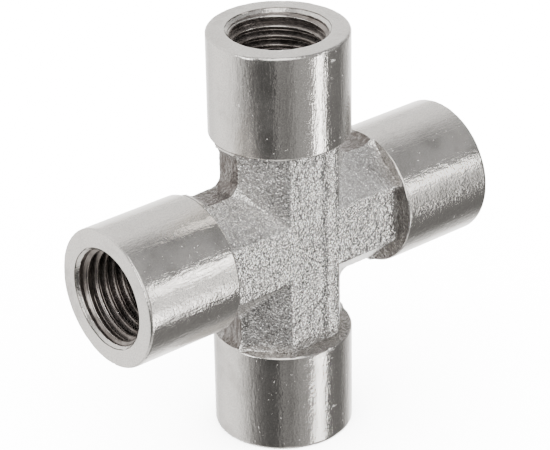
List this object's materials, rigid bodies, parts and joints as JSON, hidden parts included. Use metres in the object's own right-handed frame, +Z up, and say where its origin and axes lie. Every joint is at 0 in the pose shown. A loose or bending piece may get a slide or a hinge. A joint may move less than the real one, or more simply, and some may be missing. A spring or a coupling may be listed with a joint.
{
  "type": "cross fitting",
  "caption": "Equal cross pipe fitting: a forged octagonal cross with a turned, female-threaded socket on each end, for joining pipes or hoses that meet at right angles.",
  "frame": {"origin": "the point where the axes of the ports cross, at the middle of the fitting", "axes": "+Z up along the vertical ports, +X along the horizontal ports, Y across the forging's parting plane with the front face towards -Y"},
  "size_m": [0.0584, 0.019, 0.0584],
  "materials": {
    "forged_nickel": "nickel plate over a coarse, shot-blasted forged skin, matt and sparkling",
    "turned_nickel": "nickel plate over a turned surface, satin bright with fine handling marks"
  },
  "bodies": {
    "root": {"forged_core": "forged_nickel", "socket_top": "turned_nickel", "socket_right": "turned_nickel", "socket_bottom": "turned_nickel", "socket_left": "turned_nickel"}
  },
  "joints": []
}
